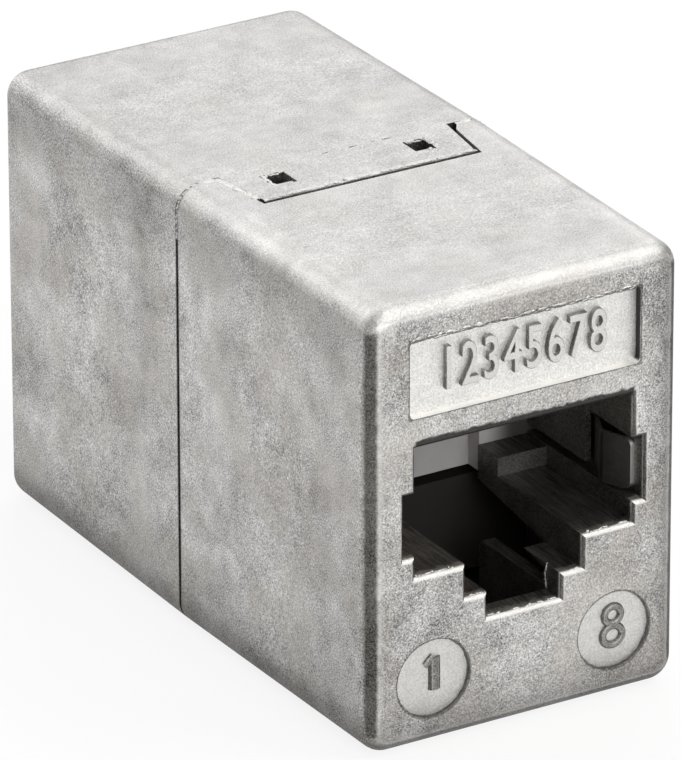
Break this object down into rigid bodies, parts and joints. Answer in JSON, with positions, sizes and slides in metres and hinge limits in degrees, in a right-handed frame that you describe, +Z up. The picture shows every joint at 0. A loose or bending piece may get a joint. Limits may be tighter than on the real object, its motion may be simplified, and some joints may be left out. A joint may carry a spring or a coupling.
{
  "type": "rj45 inline coupler",
  "caption": "Shielded inline coupler for network leads: a die-cast metal block with a modular jack in each end.",
  "frame": {"origin": "middle of the underside", "axes": "+X right seen from the front port, +Y from the front port to the rear one, +Z up"},
  "size_m": [0.0174, 0.0346, 0.0229],
  "materials": {
    "zinc_casting": "raw tumbled zinc die casting, matt",
    "grey_plastic": "light grey moulded plastic",
    "board_green": "dark green solder mask",
    "gold_contact": "gold plated bronze wire",
    "spring_metal": "tin plated spring strip"
  },
  "bodies": {
    "root": {"front_shell": "zinc_casting", "rear_shell": "zinc_casting", "front_carrier": "grey_plastic", "rear_carrier": "grey_plastic", "circuit_board": "board_green", "front_contact_1": "gold_contact", "front_contact_2": "gold_contact", "front_contact_3": "gold_contact", "front_contact_4": "gold_contact", "front_contact_5": "gold_contact", "front_contact_6": "gold_contact", "front_contact_7": "gold_contact", "front_contact_8": "gold_contact", "rear_contact_1": "gold_contact", "rear_contact_2": "gold_contact", "rear_contact_3": "gold_contact", "rear_contact_4": "gold_contact", "rear_contact_5": "gold_contact", "rear_contact_6": "gold_contact", "rear_contact_7": "gold_contact", "rear_contact_8": "gold_contact", "front_shield_spring_left": "spring_metal", "front_shield_spring_right": "spring_metal", "rear_shield_spring_left": "spring_metal", "rear_shield_spring_right": "spring_metal"}
  },
  "joints": []
}
